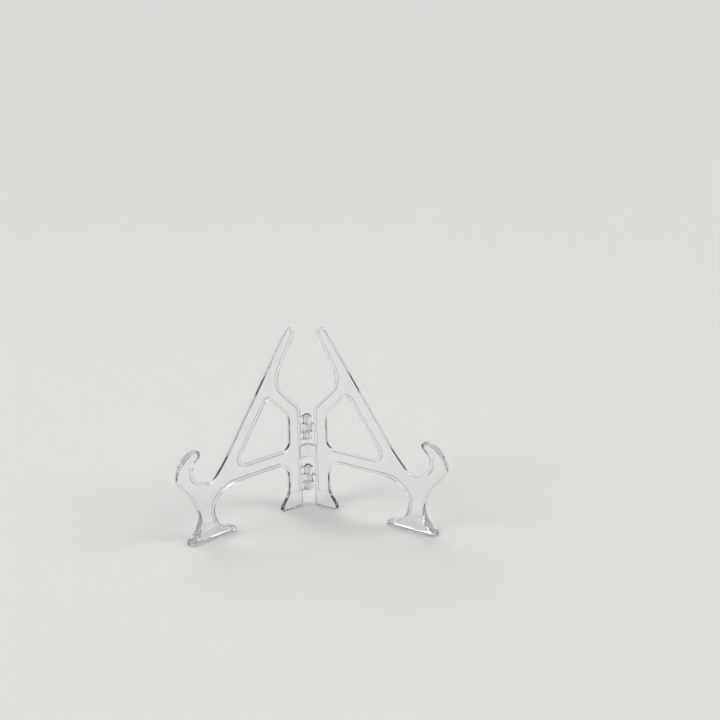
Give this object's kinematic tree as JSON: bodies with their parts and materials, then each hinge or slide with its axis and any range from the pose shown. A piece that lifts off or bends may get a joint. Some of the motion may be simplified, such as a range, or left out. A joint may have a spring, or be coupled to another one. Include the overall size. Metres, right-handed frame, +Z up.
{
  "type": "plate display stand",
  "caption": "Folding clear plastic plate stand: side frames with fluted front hooks, plate slots and leaning back arms, hinged in a V at the rear.",
  "frame": {"origin": "middle of the bounding box, on the table", "axes": "+Z up, +Y towards the hinge at the back, +X to the right of someone facing the hooks"},
  "size_m": [0.2014, 0.103, 0.1447],
  "materials": {
    "clear_plastic": "polished, crystal clear",
    "pin_plastic": "polished, crystal clear"
  },
  "bodies": {
    "left_frame": {"left_side_frame": "clear_plastic", "lower_hinge_pin": "pin_plastic", "upper_hinge_pin": "pin_plastic"},
    "right_frame": {"right_side_frame": "clear_plastic"}
  },
  "joints": [
    {"name": "frame_fold", "type": "hinge", "parent": "left_frame", "child": "right_frame", "pos_m": [0, 0.04622, 0.04], "axis": [0, 0, 1], "range_deg": [-84, 0]}
  ]
}
